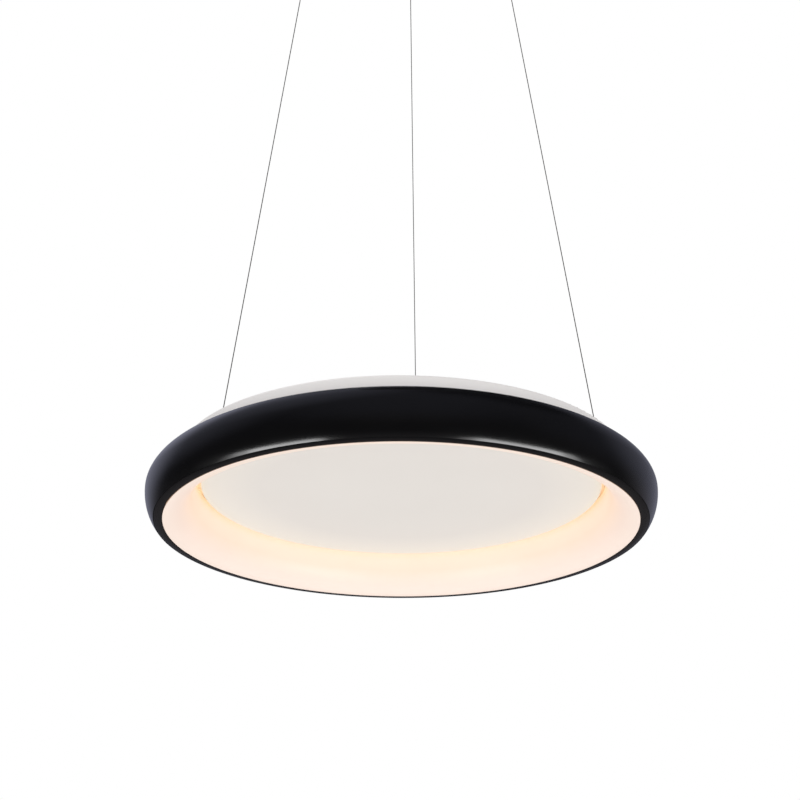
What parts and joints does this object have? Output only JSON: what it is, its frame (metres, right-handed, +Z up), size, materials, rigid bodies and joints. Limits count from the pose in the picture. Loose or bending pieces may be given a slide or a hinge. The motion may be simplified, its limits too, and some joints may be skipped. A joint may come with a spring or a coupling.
{
  "type": "led pendant light",
  "caption": "Round pendant light: a black ring with a white reflector and a centre disc, hung on thin wires from a round ceiling canopy.",
  "frame": {"origin": "middle of the ceiling bracket's top face, midway between its two screw slots, where it lies on the ceiling", "axes": "+Z up, +X along the ceiling bracket, -Y the front that the picture shows; the lamp hangs below the origin"},
  "size_m": [0.6116, 0.6116, 0.99],
  "materials": {
    "black_metal": "satin black powder coat",
    "white_metal": "matt white powder coat",
    "white_disc": "matt white moulded plastic",
    "sheet_aluminium": "mill finish",
    "steel": "zinc plated",
    "black_steel": "blackened",
    "nickel": "polished nickel",
    "brass": "turned",
    "nylon": "natural white",
    "driver_plastic": "fine grained white",
    "strip_film": "white flexible circuit",
    "led_resin": "yellow phosphor in a white frame",
    "wire_rope": "stranded stainless rope"
  },
  "bodies": {
    "ceiling": {"ceiling_bracket": "steel", "earth_screw": "brass", "canopy_cover": "black_metal", "canopy_screws": "black_steel", "gripper_bodies": "nickel", "gripper_bushes": "nylon", "gripper_nuts": "steel", "wire_tails": "wire_rope", "gripper_spring_left": "steel", "gripper_spring_right": "steel", "gripper_spring_rear": "steel", "led_driver": "driver_plastic", "driver_nuts": "steel", "mains_terminal_block": "nylon", "mains_terminal_screws": "brass"},
    "plunger_left": {"plunger_left": "nickel", "gripper_balls_left": "steel"},
    "plunger_right": {"plunger_right": "nickel", "gripper_balls_right": "steel"},
    "plunger_rear": {"plunger_rear": "nickel", "gripper_balls_rear": "steel"},
    "swing_left": {"wire_left": "wire_rope"},
    "swing_right": {"wire_right": "wire_rope"},
    "swing_rear": {"wire_rear": "wire_rope"},
    "hanger_rear": {"ferrule_rear": "nickel"},
    "lamp": {"ring_shell": "black_metal", "reflector": "white_metal", "reflector_pillars": "steel", "reflector_screws": "steel", "chassis_plate": "sheet_aluminium", "top_cover": "white_metal", "centre_disc": "white_disc", "disc_pillars": "steel", "disc_screws": "steel", "led_drum": "sheet_aluminium", "drum_screws": "steel", "led_strip": "strip_film", "led_chips": "led_resin", "ring_straps": "steel", "ring_screws": "black_steel", "anchor_posts": "steel", "anchor_bushes": "nylon", "anchor_nuts": "steel", "anchor_caps": "nickel", "lamp_terminal_block": "nylon", "ferrule_left": "nickel", "ferrule_right": "nickel"}
  },
  "joints": [
    {"name": "release_left", "type": "slide", "parent": "ceiling", "child": "plunger_left", "axis": [0, 0, 1], "range_m": [0, 0.0025], "stiffness_N_per_m": 800, "springref_m": -0.0025, "deforming": ["gripper_spring_left"]},
    {"name": "release_right", "type": "slide", "parent": "ceiling", "child": "plunger_right", "axis": [0, 0, 1], "range_m": [0, 0.0025], "stiffness_N_per_m": 800, "springref_m": -0.0025, "deforming": ["gripper_spring_right"]},
    {"name": "release_rear", "type": "slide", "parent": "ceiling", "child": "plunger_rear", "axis": [0, 0, 1], "range_m": [0, 0.0025], "stiffness_N_per_m": 800, "springref_m": -0.0025, "deforming": ["gripper_spring_rear"]},
    {"name": "sway", "type": "hinge", "parent": "ceiling", "child": "swing_rear", "pos_m": [0.01275, 0.14012, -0.055], "axis": [0, 1, 0], "range_deg": [-5, 5]},
    {"name": "lamp_height", "type": "slide", "parent": "swing_rear", "child": "hanger_rear", "axis": [0, 0, 1], "range_m": [0, 0.3], "deforming": ["wire_left", "wire_right", "wire_rear"]},
    {"name": "lamp_level", "type": "hinge", "parent": "hanger_rear", "child": "lamp", "pos_m": [0.02243, 0.24648, -0.897], "axis": [0, 1, 0], "range_deg": [-3, 3]},
    {"name": "sway_left", "type": "hinge", "parent": "ceiling", "child": "swing_left", "pos_m": [-0.11511, -0.0809, -0.055], "axis": [0, 1, 0], "range_deg": [-5, 5]},
    {"name": "sway_right", "type": "hinge", "parent": "ceiling", "child": "swing_right", "pos_m": [0.12762, -0.05924, -0.055], "axis": [0, 1, 0], "range_deg": [-5, 5]}
  ],
  "couplings": [
    {"joint": "lamp_level", "follows": "sway", "ratio": -0.56848},
    {"joint": "sway_left", "follows": "sway", "ratio": 1},
    {"joint": "sway_right", "follows": "sway", "ratio": 1}
  ]
}
